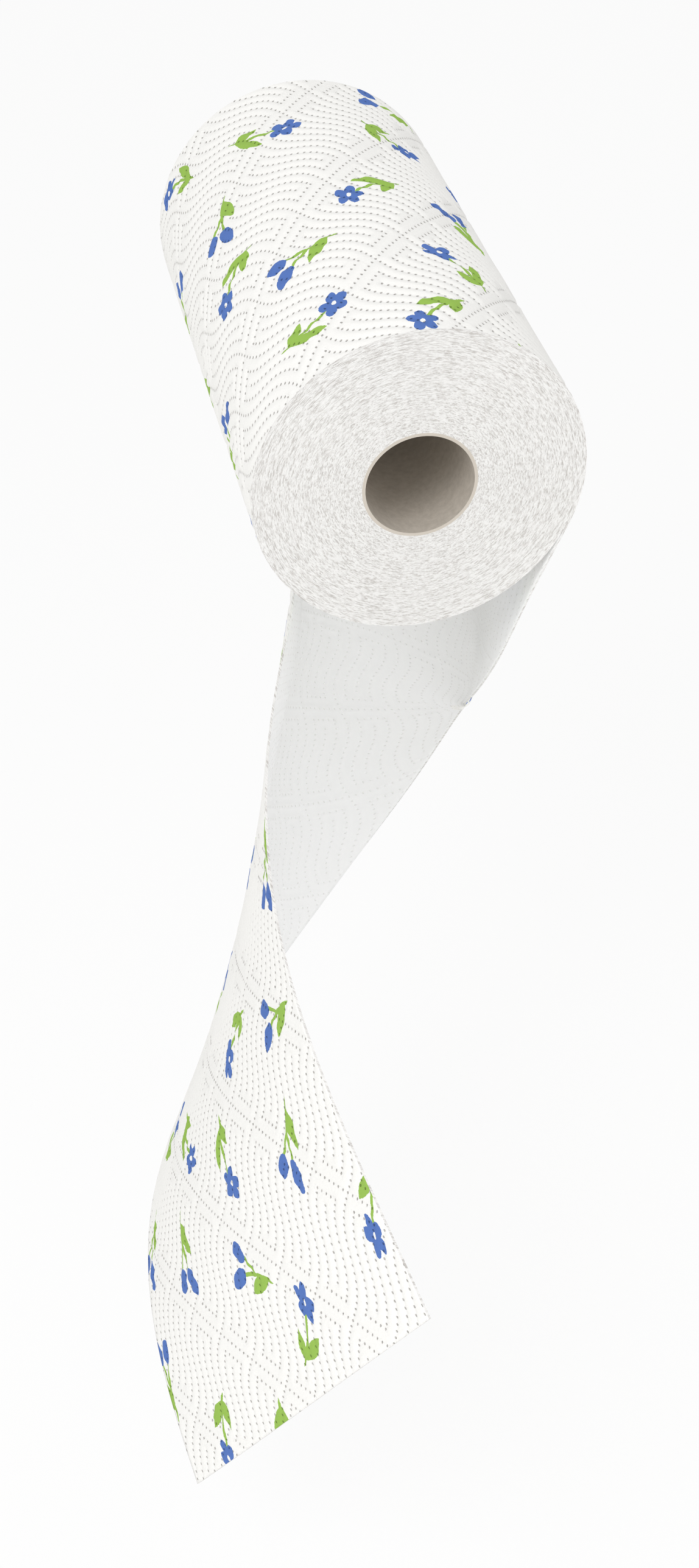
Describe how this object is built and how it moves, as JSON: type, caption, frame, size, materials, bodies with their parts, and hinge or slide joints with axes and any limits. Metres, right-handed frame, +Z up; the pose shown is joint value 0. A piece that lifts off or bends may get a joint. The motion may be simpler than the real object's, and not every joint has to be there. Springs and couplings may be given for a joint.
{
  "type": "paper towel roll",
  "caption": "Printed, embossed kitchen paper wound on a cardboard core, with the loose end hanging from the roll and curling over.",
  "frame": {"origin": "middle of the core's bore, halfway along it", "axes": "+Y along the core's bore, away from the end that the picture shows; +Z up; the tail leaves the roll on its +X side and hangs towards -Z and -Y"},
  "size_m": [0.1915, 0.4509, 0.4218],
  "materials": {
    "core_board": "matt",
    "towel_paper": "matt"
  },
  "bodies": {
    "root": {"core_tube": "core_board", "towel_web": "towel_paper"}
  },
  "joints": []
}
